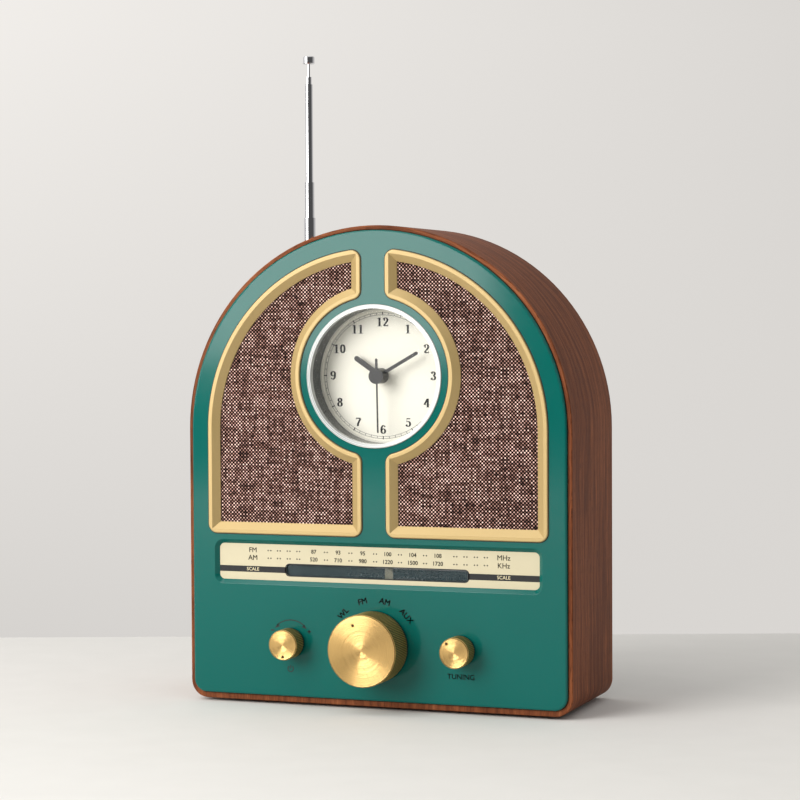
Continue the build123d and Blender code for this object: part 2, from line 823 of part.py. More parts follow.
def battery_box():
    wide, tall = door_width / 2 + 2, door_height / 2 + 2
    z = foot_height + door_centre
    back = cover_front
    box = block(-wide, wide, back - 18, back, z - tall, z + tall)
    box -= block(-wide + 2, wide - 2, back - 16, back + 1, z - tall + 2, z + tall - 2)
    for side in (-1, 1):
        x0, x1 = sorted((side * (cell_length / 2), side * (wide - 1.5)))
        box += block(x0, x1, back - 16.5, back - 5, z - 4, z + 4)
    return box


def aa_cell():
    place = Pos(0, cover_front - 16 + cell_radius, foot_height + door_centre) * Rot(0, 90, 0)
    can = place * Cylinder(cell_radius, cell_length - 1.2)
    tip = place * Pos(0, 0, cell_length / 2 - 0.6) * Cylinder(2.7, 1.2)
    return can + tip


def feet():
    pads = []
    for x in (-half + foot_margin, half - foot_margin):
        for y in (foot_inset, case_depth - foot_inset):
            pads.append(Pos(x, y, foot_height / 2) * Cylinder(foot_radius, foot_height))
    return Compound(pads)


# Antenna

def antenna_bracket():
    ring = rod(mast_offset, mast_z, bracket_radius, cover_back, swivel_front())
    ring += rod(mast_offset, mast_z, swivel_stub_radius + 2.5, cover_front - 3, cover_back)
    return ring - rod(mast_offset, mast_z, swivel_stub_radius + running, cover_front - 4, swivel_front() + 1)


def swivel_front():
    return mast_y - ear_radius - 2.2


def antenna_swivel():
    face = swivel_front() + side_play
    disc_back = mast_y - ear_radius - 0.3
    piece = rod(mast_offset, mast_z, swivel_disc_radius, face, disc_back)
    piece += rod(mast_offset, mast_z, swivel_stub_radius, cover_front - 2.5, face)
    axis = Pos(mast_offset, mast_y, mast_z) * Rot(0, 90, 0)
    for side in (-1, 1):
        x = mast_offset + side * (tongue_half + side_play + ear_thickness / 2)
        ear = Pos(x, mast_y, mast_z) * Rot(0, 90, 0) * Cylinder(ear_radius, ear_thickness)
        web = block(x - ear_thickness / 2, x + ear_thickness / 2, disc_back - 0.5, mast_y,
                    mast_z - ear_radius, mast_z + ear_radius)
        piece += ear + web
    piece += axis * Cylinder(pin_radius, 2 * (tongue_half + side_play + ear_thickness) + 0.6)
    return piece


def mast_tongue_top():
    return mast_z + ear_radius + 3.0


def antenna_base():
    top = foot_height + mast_base_top
    low = mast_tongue_top()
    at = Pos(mast_offset, mast_y, 0)
    tube = at * Pos(0, 0, (low + top) / 2) * Cylinder(mast_radii[0], top - low)
    floor = low + 8.0
    bore = mast_radii[1] + slip
    tube -= at * Pos(0, 0, (floor + top + 2) / 2) * Cylinder(bore, top + 2 - floor)
    reach = mast_radii[0]
    tongue = block(mast_offset - tongue_half, mast_offset + tongue_half, mast_y - reach, mast_y + reach,
                   mast_z, low + 1)
    tongue += Pos(mast_offset, mast_y, mast_z) * Rot(0, 90, 0) * Cylinder(reach, 2 * tongue_half)
    tongue -= Pos(mast_offset, mast_y, mast_z) * Rot(0, 90, 0) * Cylinder(pin_radius + running, 20)
    return tube + tongue


def mast_top(index):
    """Top of a sliding section at rest, counted from 0 just above the base tube."""
    return foot_height + mast_base_top + sum(mast_shows[:index + 1])


def antenna_section(index):
    """Tube that slides in the one below it and holds the one above it."""
    top = mast_top(index)
    length = mast_lengths[index]
    at = Pos(mast_offset, mast_y, top - length / 2)
    return at * (Cylinder(mast_radii[index + 1], length) - Cylinder(mast_radii[index + 2] + slip, length + 2))


def antenna_rod():
    index = len(mast_lengths) - 1
    top = mast_top(index)
    length = mast_lengths[index]
    at = Pos(mast_offset, mast_y, 0)
    tip = Cylinder(mast_tip_radius, mast_tip_height)
    tip = chamfer(tip.edges().filter_by(GeomType.CIRCLE), 0.5)
    mast = at * Pos(0, 0, top - length / 2) * Cylinder(mast_radii[index + 1], length)
    return mast + at * Pos(0, 0, top + mast_tip_height / 2) * tip


def all_parts():
    """Every node's name and solid."""
    parts = {
        "case_shell": case_shell(),
        "front_panel": front_panel(),
        "baffle_board": baffle_board(),
        "scale_plate": scale_plate(),
        "scale_window": scale_window(),
        "clock_bezel": clock_bezel(),
        "clock_lens": clock_lens(),
        "clock_tunnel": clock_tunnel(),
        "clock_dial": clock_dial(),
        "clock_movement": clock_movement(),
        "second_hand": second_hand(),
        "minute_hand": minute_hand(),
        "hour_hand": hour_hand(),
        "clock_set_knob": clock_set_knob(),
        "pointer_rack": pointer_rack(),
        "pointer_rail": pointer_rail(),
        "rail_brackets": rail_brackets(),
        "tuning_shaft": tuning_shaft(),
        "idler_gear": idler_gear(),
        "capacitor_gear": capacitor_gear(),
        "tuner_plate": tuner_plate(),
        "tuning_capacitor": tuning_capacitor(),
        "tuning_bush": tuning_bush(),
        "tuning_knob": knob(control_spacing, small_knob_diameter, small_knob_stand, small_dot_radius, -40),
        "volume_knob": knob(-control_spacing, small_knob_diameter, small_knob_stand, small_dot_radius, 180),
        "volume_shaft": control_shaft(-control_spacing, small_knob_stand, control_body_depth - 3),
        "volume_control": bush(-control_spacing, control_body_radius, control_body_depth),
        "selector_knob": knob(0, selector_diameter, selector_stand, selector_dot_radius, selector_dot_angle),
        "selector_shaft": control_shaft(0, selector_stand, switch_body_depth - 3),
        "selector_switch": bush(0, switch_body_radius, switch_body_depth),
        "control_nuts": control_nuts(),
        "main_board": main_board(),
        "board_parts": board_parts(),
        "dc_jack": jack(dc_jack_offset, 5.5, dc_bore_radius, dc_pin_radius),
        "aux_jack": jack(aux_jack_offset, 5.5, aux_bore_radius, 0),
        "ferrite_rod": ferrite_rod(),
        "ferrite_coil": ferrite_coil(),
        "rear_cover": rear_cover(),
        "cover_screws": cover_screws(),
        "battery_door": battery_door(),
        "battery_box": battery_box(),
        "aa_cell": aa_cell(),
        "feet": feet(),
        "antenna_bracket": antenna_bracket(),
        "antenna_swivel": antenna_swivel(),
        "antenna_base": antenna_base(),
        "antenna_rod": antenna_rod(),
    }
    for index in range(len(mast_lengths) - 1):
        parts[f"antenna_section_{index + 2}"] = antenna_section(index)
    for name, side in (("left", -1), ("right", 1)):
        parts[f"grille_frame_{name}"] = grille_frame(side)
        parts[f"grille_cloth_{name}"] = grille_cloth(side)
        parts[f"speaker_frame_{name}"] = speaker_frame(side)
        parts[f"speaker_cone_{name}"] = speaker_cone(side)
        parts[f"speaker_magnet_{name}"] = speaker_magnet(side)
    return parts


os.makedirs("parts", exist_ok=True)
for node, shape in all_parts().items():
    export_step(Pos(0, -centre_y, 0) * shape, f"parts/{node}.step")
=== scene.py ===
"""Looks of the arch-top clock radio: wood, gloss plastic, cloth, brass, print and chrome round the CAD frame.

Lengths are metres in the CAD frame: +X right as seen from the front, +Y towards the back, +Z up.
"""

import math
import random

import bmesh
import bpy
from mathutils import Matrix, Vector


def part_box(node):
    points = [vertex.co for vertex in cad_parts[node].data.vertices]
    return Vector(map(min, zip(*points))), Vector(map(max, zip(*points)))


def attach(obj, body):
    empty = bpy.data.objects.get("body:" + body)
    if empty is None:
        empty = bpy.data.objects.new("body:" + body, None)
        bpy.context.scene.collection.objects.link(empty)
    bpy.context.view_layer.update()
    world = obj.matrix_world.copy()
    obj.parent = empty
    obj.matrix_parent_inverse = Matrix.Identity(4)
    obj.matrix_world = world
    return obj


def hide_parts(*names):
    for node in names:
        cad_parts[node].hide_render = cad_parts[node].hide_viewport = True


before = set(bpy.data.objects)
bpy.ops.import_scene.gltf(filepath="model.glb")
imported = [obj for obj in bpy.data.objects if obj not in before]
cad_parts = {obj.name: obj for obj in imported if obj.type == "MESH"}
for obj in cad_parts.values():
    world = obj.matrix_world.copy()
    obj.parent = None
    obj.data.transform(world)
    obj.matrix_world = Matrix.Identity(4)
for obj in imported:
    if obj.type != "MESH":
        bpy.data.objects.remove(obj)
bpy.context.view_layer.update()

MM = 0.001
TURN = 2 * math.pi


# ---------------------------------------------------------------- places read from the frame

def centre_of(node):
    low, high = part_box(node)
    return (low + high) / 2


case_low, case_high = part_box("case_shell")
HALF = (case_high.x - case_low.x) / 2
SPRING = case_high.z - HALF
PANEL_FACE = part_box("front_panel")[0].y
CLOCK = centre_of("clock_dial")
CLOCK_RADIUS = (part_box("clock_lens")[1].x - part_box("clock_lens")[0].x) / 2
KNOB_Z = centre_of("selector_knob").z
SCALE_LOW, SCALE_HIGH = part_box("scale_plate")
SLOT = centre_of("scale_window")


def dial_face():
    """Height of the dial's printed face: the rim stands in front of it."""
    low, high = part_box("clock_dial")
    return high.y - 0.8 * MM


# ---------------------------------------------------------------- shader arithmetic

class Wire:
    """A node's output: arithmetic on it makes Math nodes."""

    def __init__(self, finish, socket):
        self.finish, self.socket = finish, socket

    def calc(self, operation, *others):
        return self.finish.maths(operation, self, *others)

    def __add__(self, other):
        return self.calc("ADD", other)

    def __sub__(self, other):
        return self.calc("SUBTRACT", other)

    def __rsub__(self, other):
        return self.finish.maths("SUBTRACT", other, self)

    def __mul__(self, other):
        return self.calc("MULTIPLY", other)

    def __truediv__(self, other):
        return self.calc("DIVIDE", other)

    def __gt__(self, other):
        return self.calc("GREATER_THAN", other)

    __radd__ = __add__
    __rmul__ = __mul__

    def clamped(self, low=0.0, high=1.0):
        return self.finish.node("ShaderNodeClamp", {}, {0: self, 1: low, 2: high})


class Finish:
    """A material being built on its Principled shader."""

    def __init__(self, name, **constants):
        self.material = bpy.data.materials.new(name)
        self.material.use_nodes = True
        self.tree = self.material.node_tree
        self.shader = self.tree.nodes["Principled BSDF"]
        self.set(**constants)
        self.coords = None

    def node(self, kind, settings, inputs, output=0):
        """Any node: its settings first, then its sockets' values or links."""
        made = self.tree.nodes.new(kind)
        for name, value in settings.items():
            if name == "stops":
                self.set_stops(made.color_ramp, value)
            else:
                setattr(made, name, value)
        for key, value in inputs.items():
            self.feed(made.inputs[key], value)
        return Wire(self, made.outputs[output])

    def set_stops(self, ramp, stops):
        while len(ramp.elements) < len(stops):
            ramp.elements.new(0.5)
        for element, (place, colour) in zip(ramp.elements, stops):
            element.position = place
            element.color = (*colour, 1.0)

    def feed(self, socket, value):
        if isinstance(value, Wire):
            self.tree.links.new(value.socket, socket)
        elif isinstance(value, tuple) and len(value) == 3 and len(socket.default_value) == 4:
            socket.default_value = (*value, 1.0)
        else:
            socket.default_value = value

    def set(self, **values):
        """Principled sockets by name, with underscores for spaces."""
        for name, value in values.items():
            self.feed(self.shader.inputs[name.replace("_", " ")], value)
        return self.material

    def maths(self, operation, *values):
        return self.node("ShaderNodeMath", {"operation": operation}, dict(enumerate(values)))

    def vector(self, operation, *values, output=0):
        return self.node("ShaderNodeVectorMath", {"operation": operation}, dict(enumerate(values)), output)

    def place(self):
        """Object coordinates as a vector."""
        return self.node("ShaderNodeTexCoord", {}, {}, "Object")

    def xyz(self):
        """Object coordinates one by one."""
        if self.coords is None:
            split = self.node("ShaderNodeSeparateXYZ", {}, {0: self.place()}).socket.node
            self.coords = [Wire(self, split.outputs[axis]) for axis in range(3)]
        return self.coords

    def combine(self, x, y, z):
        return self.node("ShaderNodeCombineXYZ", {}, {0: x, 1: y, 2: z})

    def noise(self, vector, scale, detail=2.0, roughness=0.5, distortion=0.0):
        sockets = {"Vector": vector, "Scale": scale, "Detail": detail}
        sockets.update({"Roughness": roughness, "Distortion": distortion})
        return self.node("ShaderNodeTexNoise", {}, sockets)

    def random(self, vector):
        return self.node("ShaderNodeTexWhiteNoise", {"noise_dimensions": "3D"}, {"Vector": vector})

    def ramp(self, factor, stops):
        return self.node("ShaderNodeValToRGB", {"stops": stops}, {"Fac": factor})

    def mix(self, factor, first, second, blend="MIX"):
        settings = {"data_type": "RGBA", "blend_type": blend}
        return self.node("ShaderNodeMix", settings, {0: factor, 6: first, 7: second}, 2)

    def bump(self, height, distance, strength=1.0):
        sockets = {"Strength": strength, "Distance": distance, "Height": height}
        return self.node("ShaderNodeBump", {}, sockets)


# ---------------------------------------------------------------- finishes

RING_WALL = 2.6 * MM    # thickness of the clear ring round the clock
FLAG_DEEP = 1.6 * MM    # how far back the pointer's ivory front reaches
KNOB_BLACK_BAND = 1.4 * MM   # black rear ring of each knob


def walnut():
    """Veneer with its grain following the bent case, up the sides and over the arch."""
    f = Finish("walnut", Specular_IOR_Level=0.07)
    x, y, z = f.xyz()
    above = z > SPRING
    angle = f.maths("ARCTAN2", x, z - SPRING)
    side = f.maths("SIGN", x)
    reach = f.maths("SQRT", x * x + (z - SPRING) * (z - SPRING))
    straight = side * (HALF * math.pi / 2 + SPRING - z)
    along = above * (angle * HALF) + (1 - above) * straight
    depth_in = above * (HALF - reach) + (1 - above) * (HALF - f.maths("ABSOLUTE", x))
    across = y + depth_in
    sway = f.noise(f.combine(along * 14, across * 30, 0.0), 1.0, 2.0)
    lines = across + sway * 0.012
    figure = f.noise(f.combine(along * 9, lines * 260, 3.0), 1.0, 4.0, 0.62)
    fine = f.noise(f.combine(along * 60, lines * 1500, 7.0), 1.0, 3.0, 0.6)
    pores = f.noise(f.combine(along * 160, lines * 3400, 11.0), 1.0, 1.0)
    shade = (figure * 0.62 + fine * 0.38)
    colour = f.ramp(shade, [(0.28, (0.042, 0.011, 0.005)), (0.44, (0.138, 0.040, 0.016)),
                            (0.56, (0.240, 0.075, 0.029)), (0.72, (0.420, 0.155, 0.066))])
    dark_pores = f.maths("GREATER_THAN", pores, 0.63) * 0.6
    colour = f.mix(dark_pores, colour, (0.030, 0.011, 0.007))
    rough = 0.42 + fine * 0.22
    relief = fine * 0.5 - dark_pores * 0.6
    return f.set(Base_Color=colour, Roughness=rough, Normal=f.bump(relief, 0.06 * MM, 0.5))


def gloss_green():
    """Moulded gloss plastic with a very slight ripple and a few fine hairlines."""
    f = Finish("gloss_green", Specular_IOR_Level=0.28)
    at = f.place()
    cloud = f.noise(at, 14.0, 3.0)
    colour = f.mix(cloud, (0.000, 0.100, 0.084), (0.001, 0.116, 0.098))
    peel = f.noise(at, 900.0, 2.0)
    haze = f.noise(at, 60.0, 4.0, 0.6)
    return f.set(Base_Color=colour, Roughness=0.06 + haze * 0.07, Normal=f.bump(peel, 0.01 * MM, 0.06))


def satin_gold():
    """Gold lacquer on a moulding: fine metallic flake under a satin coat."""
    f = Finish("satin_gold", Metallic=0.5, Coat_Weight=0.4, Coat_Roughness=0.3)
    at = f.place()
    flake = f.noise(at, 5200.0, 1.0)
    cloud = f.noise(at, 35.0, 3.0)
    colour = f.mix(cloud, (0.425, 0.296, 0.106), (0.475, 0.340, 0.136))
    colour = f.mix(flake * 0.25, colour, (0.74, 0.58, 0.32))
    return f.set(Base_Color=colour, Roughness=0.48 + flake * 0.12, Normal=f.bump(flake, 0.006 * MM, 0.4))


def tweed(pitch):
    """Plain weave of pale warp over a dark weft, with painted shade on each crossing where the warp is on
    top: bright at its crown and darker towards its edges, so pale beads show with dark between.
    """
    f = Finish("tweed", Roughness=0.9, Specular_IOR_Level=0.15)
    x, y, z = f.xyz()
    sway = f.noise(f.combine(x * 55, 0.0, z * 55), 1.0, 2.0)
    u, v = x / pitch + sway * 0.5, z / pitch + sway * 0.4
    column, row = f.maths("ROUND", u), f.maths("ROUND", v)
    du, dv = u - column, v - row
    over = f.maths("PINGPONG", column + row, 1.0)
    tone = f.random(f.combine(column, row, 3.0))
    weft = f.random(f.combine(f.maths("FLOOR", column / 9), row, 5.0))
    warp = f.random(f.combine(column, f.maths("FLOOR", row / 9), 9.0))
    # painted shade: each warp crossing is lit at its crown and shaded towards its edges
    painted_crown_shade = (1.12 - (du * du + dv * dv) * 2.6).clamped()
    hair = f.noise(f.combine(u * 6, v * 6, 1.0), 1.0, 2.0)
    light = (over * painted_crown_shade * (0.36 + tone * 0.22 + weft * 0.28 + warp * 0.28) + (hair - 0.5) * 0.06).clamped()
    colour = f.ramp(light, [(0.0, (0.001, 0.000, 0.000)), (0.34, (0.012, 0.003, 0.002)),
                            (0.66, (0.420, 0.225, 0.180)), (0.95, (1.000, 0.780, 0.700))])
    return f.set(Base_Color=colour, Normal=f.bump(hair, 0.02 * MM, 0.4))


def brass_tone(f, at):
    cloud = f.noise(at, 60.0, 3.0)
    return f.mix(cloud, (0.555, 0.355, 0.130), (0.605, 0.395, 0.155))


def spun_brass(name, centre):
    """Lathe-turned face: fine rings that spread every reflection outwards from the axis."""
    f = Finish(name, Metallic=1.0)
    at = f.place()
    x, y, z = f.xyz()
    dx, dz = x - centre.x, z - centre.z
    radius = f.maths("SQRT", dx * dx + dz * dz)
    ring = f.random(f.combine(f.maths("FLOOR", radius * 90000), 0.0, 1.0))
    outward = f.vector("NORMALIZE", f.combine(dx, 0.0, dz))
    geometry = f.node("ShaderNodeNewGeometry", {}, {}, "Normal")
    spread = f.vector("SCALE", outward)
    f.feed(spread.socket.node.inputs["Scale"], (ring - 0.5) * 0.62)
    tilted = f.vector("NORMALIZE", f.vector("ADD", geometry, spread))
    return f.set(Base_Color=brass_tone(f, at), Roughness=0.22 + ring * 0.06, Normal=tilted)


def fluted_brass(name, centre, radius, back):
    """Fluted side of a knob, with painted shade darkening the grooves, and a black ring at the rear."""
    f = Finish(name)
    at = f.place()
    x, y, z = f.xyz()
    dx, dz = x - centre.x, z - centre.z
    sunk = ((radius - f.maths("SQRT", dx * dx + dz * dz)) / (0.30 * MM)).clamped()
    grit = f.noise(at, 1500.0, 3.0)
    # painted shade: the colour darkens with depth below the outer radius, down into each groove
    colour = f.mix((sunk * 1.1 - grit * 0.1).clamped(), (0.800, 0.530, 0.170), (0.040, 0.018, 0.002))
    ring = y > (back - KNOB_BLACK_BAND)
    colour = f.mix(ring, colour, (0.012, 0.012, 0.012))
    return f.set(Base_Color=colour, Metallic=(1 - ring) * 0.7, Roughness=0.36 + grit * 0.14 + sunk * 0.1,
                 Normal=f.bump(grit, 0.02 * MM, 0.3))


def polished_chrome():
    f = Finish("polished_chrome", Metallic=1.0)
    x, y, z = f.xyz()
    wipe = f.noise(f.combine(x * 900, y * 900, z * 25), 1.0, 3.0)
    colour = f.mix(wipe, (0.80, 0.80, 0.83), (0.90, 0.90, 0.92))
    return f.set(Base_Color=colour, Roughness=0.03 + wipe * 0.06)


def plated_steel():
    f = Finish("plated_steel", Metallic=1.0)
    cloud = f.noise(f.place(), 400.0, 4.0)
    colour = f.mix(cloud, (0.42, 0.42, 0.41), (0.58, 0.58, 0.57))
    return f.set(Base_Color=colour, Roughness=0.3 + cloud * 0.2)


def printed_card(name, low, high, rough):
    """Satin printed face: the ground tone with faint mottling."""
    f = Finish(name, Coat_Weight=0.1, Coat_Roughness=0.3)
    at = f.place()
    mottle = f.noise(at, 120.0, 4.0, 0.6)
    tooth = f.noise(at, 3000.0, 2.0)
    return f.set(Base_Color=f.mix(mottle, low, high), Roughness=rough + tooth * 0.1,
                 Normal=f.bump(tooth, 0.006 * MM, 0.4))


def moulded(name, low, high, rough, grain=700.0, depth=0.03, shine=0.5):
    """Moulded or pressed material with a fine surface grain."""
    f = Finish(name, Specular_IOR_Level=shine)
    at = f.place()
    cloud = f.noise(at, 40.0, 3.0)
    sand = f.noise(at, grain, 3.0, 0.6)
    return f.set(Base_Color=f.mix(cloud, low, high), Roughness=rough + sand * 0.16,
                 Normal=f.bump(sand, depth * MM, 0.6))


def ivory_flag():
    """Pointer moulded in ivory at its front, black on the toothed rack behind."""
    f = Finish("ivory")
    x, y, z = f.xyz()
    flag = y > (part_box("pointer_rack")[0].y + FLAG_DEEP)
    cloud = f.noise(f.place(), 200.0, 3.0)
    ivory = f.mix(cloud, (0.86, 0.76, 0.50), (0.92, 0.82, 0.56))
    return f.set(Base_Color=f.mix(flag, ivory, (0.012, 0.012, 0.012)), Roughness=0.35 + cloud * 0.1)


def clear_acrylic():
    """Clear lens: a faint grey film, a little stronger where it was wiped."""
    f = Finish("clear_acrylic", IOR=1.49)
    smear = f.noise(f.place(), 90.0, 3.0)
    return f.set(Base_Color=f.mix(smear, (0.40, 0.42, 0.42), (0.55, 0.57, 0.57)),
                 Roughness=0.02 + smear * 0.03, Alpha=0.008 + smear * 0.016)


def smoked_acrylic():
    """Dark blue-grey film over the pointer, with faint streaks left by polishing."""
    f = Finish("smoked_acrylic", IOR=1.49)
    x, y, z = f.xyz()
    streak = f.noise(f.combine(x * 160, 0.0, z * 12), 1.0, 3.0)
    return f.set(Base_Color=f.mix(streak, (0.030, 0.056, 0.066), (0.055, 0.090, 0.100)),
                 Roughness=0.08 + streak * 0.08, Alpha=0.34 + streak * 0.10)


def cast_ring():
    """Clear ring painted as seen against white: pale bands with thin grey lines are a painted reflection of
    its inner wall, mixed in towards the left side.
    """
    f = Finish("cast_ring", IOR=1.49)
    x, y, z = f.xyz()
    dx, dz = x - CLOCK.x, z - CLOCK.z
    radius = f.maths("SQRT", dx * dx + dz * dz)
    wander = f.noise(f.combine(dx * 40, 0.0, dz * 40), 1.0, 2.0)
    step = (radius - (CLOCK_RADIUS - 0.2 * MM)) / RING_WALL + (wander - 0.5) * 0.14
    reflection_leftward = (0.5 - dx / CLOCK_RADIUS * 0.9).clamped()
    # painted reflection: pale and grey bands by radius stand in for the inner wall seen through the clear
    # plastic
    painted_wall_reflection = f.ramp(step, [(0.0, (0.10, 0.11, 0.11)), (0.16, (0.66, 0.68, 0.67)),
                           (0.36, (0.12, 0.14, 0.14)), (0.52, (0.72, 0.74, 0.73)),
                           (0.70, (0.16, 0.20, 0.19)), (0.86, (0.80, 0.82, 0.81))])
    colour = f.mix(reflection_leftward * 0.85, (0.84, 0.85, 0.84), painted_wall_reflection)
    return f.set(Base_Color=colour, Roughness=0.06 + wander * 0.05)


# ---------------------------------------------------------------- bench helpers

def piece(name, mesh, body, slot, *materials):
    """A finished mesh as a named object that rides on a body."""
    made = bpy.data.objects.new(name, mesh)
    bpy.context.collection.objects.link(made)
    for material in materials:
        mesh.materials.append(material)
    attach(made, body)
    return made


def mesh_from(bm, name, smooth_under=None):
    """Ends a bmesh: shades smooth below the given angle."""
    if smooth_under is not None:
        for face in bm.faces:
            face.smooth = True
        for edge in bm.edges:
            edge.smooth = edge.calc_face_angle(0.0) < math.radians(smooth_under)
    mesh = bpy.data.meshes.new(name)
    bm.to_mesh(mesh)
    bm.free()
    return mesh


def paint(material, *nodes):
    """Gives CAD nodes their finish."""
    for node in nodes:
        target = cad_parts[node]
        for material_slot in target.material_slots:
            material_slot.material = material


UPRIGHT = Matrix.Rotation(math.radians(90), 4, "X")


def facing(x, y, z, turn=0.0):
    """Stands a flat X-Y drawing upright at a place on the front, turned clockwise by turn degrees."""
    return Matrix.Translation((x, y, z)) @ UPRIGHT @ Matrix.Rotation(math.radians(-turn), 4, "Z")


# ---------------------------------------------------------------- cloth

THREAD = 0.98 * MM


def inside_grille(x, z, outer, inner):
    """Whether a point lies in the cloth's outline: within the arch and clear of the clock."""
    if z > SPRING and math.hypot(x, z - SPRING) > outer:
        return False
    return math.hypot(x - CLOCK.x, z - CLOCK.z) > inner


def grille_cloth(side, material):
    """Plain-woven cloth stretched over the baffle, its threads raised in the mesh."""
    node = f"grille_cloth_{side}"
    low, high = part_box(node)
    outer = max(abs(low.x), abs(high.x))
    points = [v.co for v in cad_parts[node].data.vertices]
    inner = min(math.hypot(p.x - CLOCK.x, p.z - CLOCK.z) for p in points)
    step = THREAD / 2
    first_x, last_x = math.floor(low.x / step), math.ceil(high.x / step)
    first_z, last_z = math.floor(low.z / step), math.ceil(high.z / step)
    bm = bmesh.new()
    bmesh.ops.create_grid(bm, x_segments=last_x - first_x, y_segments=last_z - first_z, size=0.5)
    size = Vector(((last_x - first_x) * step, (last_z - first_z) * step, 1))
    bmesh.ops.scale(bm, vec=size, verts=bm.verts)
    middle = ((first_x + last_x) / 2 * step, low.y, (first_z + last_z) / 2 * step)
    bmesh.ops.transform(bm, matrix=Matrix.Translation(middle) @ UPRIGHT, verts=bm.verts)
    outside = [v for v in bm.verts if not inside_grille(v.co.x, v.co.z, outer, inner)]
    bmesh.ops.delete(bm, geom=outside, context="VERTS")
    slub = random.Random(len(side))
    warp_swell = {k: slub.uniform(0.6, 1.3) for k in range(first_x - 1, last_x + 2)}
    weft_swell = {k: slub.uniform(0.6, 1.3) for k in range(first_z - 1, last_z + 2)}
    for v in bm.verts:
        across, up = v.co.x / THREAD, v.co.z / THREAD
        swell = warp_swell[round(v.co.x / step)] * weft_swell[round(v.co.z / step)]
        v.co.y -= (0.06 * swell * math.cos(math.pi * across) * math.cos(math.pi * up) + 0.06) * MM
    cloth = piece(f"cloth_{side}", mesh_from(bm, node, 180), "cabinet", "grille_fabric", material)
    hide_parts(node)


# ---------------------------------------------------------------- knobs

def knob(name, flutes, dot, dot_angle, face_material, side_material):
    """Turned knob: fluted side, bright chamfer, spun face and a drilled marker."""
    node = f"{name}_knob"
    low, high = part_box(node)
    centre = (low + high) / 2
    radius = (high.x - low.x) / 2
    depth = high.y - low.y
    count = 4 * flutes
    bm = bmesh.new()
    bmesh.ops.create_circle(bm, segments=count, radius=radius)
    ring = bm.verts[:]
    groove = (0.0, -0.12 * MM, -0.34 * MM, -0.12 * MM)
    drill, drill_deep = 0.9 * MM, 0.45 * MM
    for index, v in enumerate(ring):
        v.co.length = radius + groove[index % 4]
    chamfer = 0.45 * MM

    def next_ring(edges, height, new_radius=None):
        grown = bmesh.ops.extrude_edge_only(bm, edges=edges)["geom"]
        verts = [g for g in grown if isinstance(g, bmesh.types.BMVert)]
        for v in verts:
            v.co.z = height
            if new_radius:
                flat = Vector((v.co.x, v.co.y)).normalized() * new_radius
                v.co.x, v.co.y = flat.x, flat.y
        return [g for g in grown if isinstance(g, bmesh.types.BMEdge)]

    back_edges = bm.edges[:]
    collar = 0.9 * MM
    edges = next_ring(back_edges, depth - collar)
    edges = next_ring(edges, depth - collar + 0.15 * MM, radius)
    edges = next_ring(edges, depth - chamfer, radius)
    edges = next_ring(edges, depth, radius - chamfer)
    rim = edges
    dx, dz = dot * math.sin(math.radians(dot_angle)), dot * math.cos(math.radians(dot_angle))
    dimple = bmesh.ops.create_circle(bm, segments=20, radius=drill,
                                     matrix=Matrix.Translation((dx, dz, depth)))["verts"]
    lip = list({e for v in dimple for e in v.link_edges})
    bmesh.ops.triangle_fill(bm, use_beauty=True, edges=rim + lip, normal=(0, 0, 1))
    for face in bm.faces:
        face.material_index = 1 if face.calc_center_median().z > depth - 0.01 * MM else 0
    floor = bmesh.ops.extrude_edge_only(bm, edges=lip)["geom"]
    bowl = [g for g in floor if isinstance(g, bmesh.types.BMVert)]
    for v in bowl:
        v.co = Vector((dx, dz, depth - drill_deep)) + (v.co - Vector((dx, dz, depth))) * 0.55
    bm.faces.new(sorted(bowl, key=lambda v: math.atan2(v.co.y - dz, v.co.x - dx)))
    back = [v for v in bm.verts if v.co.z < 1e-7]
    bm.faces.new(sorted(back, key=lambda v: -math.atan2(v.co.y, v.co.x)))
    bmesh.ops.recalc_face_normals(bm, faces=bm.faces)
    bmesh.ops.transform(bm, matrix=facing(centre.x, high.y, centre.z), verts=bm.verts)
    turned = piece(f"{name}_turned_knob", mesh_from(bm, node, 40), name, "knob_brass",
                   side_material, face_material)
    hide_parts(node)


# ---------------------------------------------------------------- print

PRINT = 0.03 * MM


def thickened(bm, matrix):
    """Gives a flat drawing the thickness of a print and puts it in place."""
    bmesh.ops.recalc_face_normals(bm, faces=bm.faces)
    for face in bm.faces:
        if face.normal.z < 0:
            face.normal_flip()
    grown = bmesh.ops.extrude_face_region(bm, geom=bm.faces[:])["geom"]
    tops = [g for g in grown if isinstance(g, bmesh.types.BMVert)]
    bmesh.ops.translate(bm, vec=(0, 0, PRINT), verts=tops)
    bmesh.ops.recalc_face_normals(bm, faces=bm.faces)
    bmesh.ops.transform(bm, matrix=matrix, verts=bm.verts)


def sheet_of(drawings, name):
    """Joins many small flat drawings, each a (bmesh, place), into one print."""
    whole = bmesh.new()
    for bm, matrix in drawings:
        thickened(bm, matrix)
        scrap = bpy.data.meshes.new("scrap")
        bm.to_mesh(scrap)
        bm.free()
        whole.from_mesh(scrap)
        bpy.data.meshes.remove(scrap)
    return mesh_from(whole, name)


def lettering(text, height):
    """Plain sans lettering, centred on the origin, as a flat drawing."""
    curve = bpy.data.curves.new("letters", "FONT")
    curve.body = text
    curve.size = height / 0.72
    curve.align_x, curve.align_y = "CENTER", "CENTER"
    curve.resolution_u = 3
    holder = bpy.data.objects.new("letters", curve)
    bpy.context.collection.objects.link(holder)
    bpy.context.view_layer.update()
    flat = bpy.data.meshes.new_from_object(holder.evaluated_get(bpy.context.evaluated_depsgraph_get()))
    bm = bmesh.new()
    bm.from_mesh(flat)
    bmesh.ops.remove_doubles(bm, verts=bm.verts, dist=1e-7)
    bpy.data.objects.remove(holder)
    bpy.data.curves.remove(curve)
    bpy.data.meshes.remove(flat)
    return bm


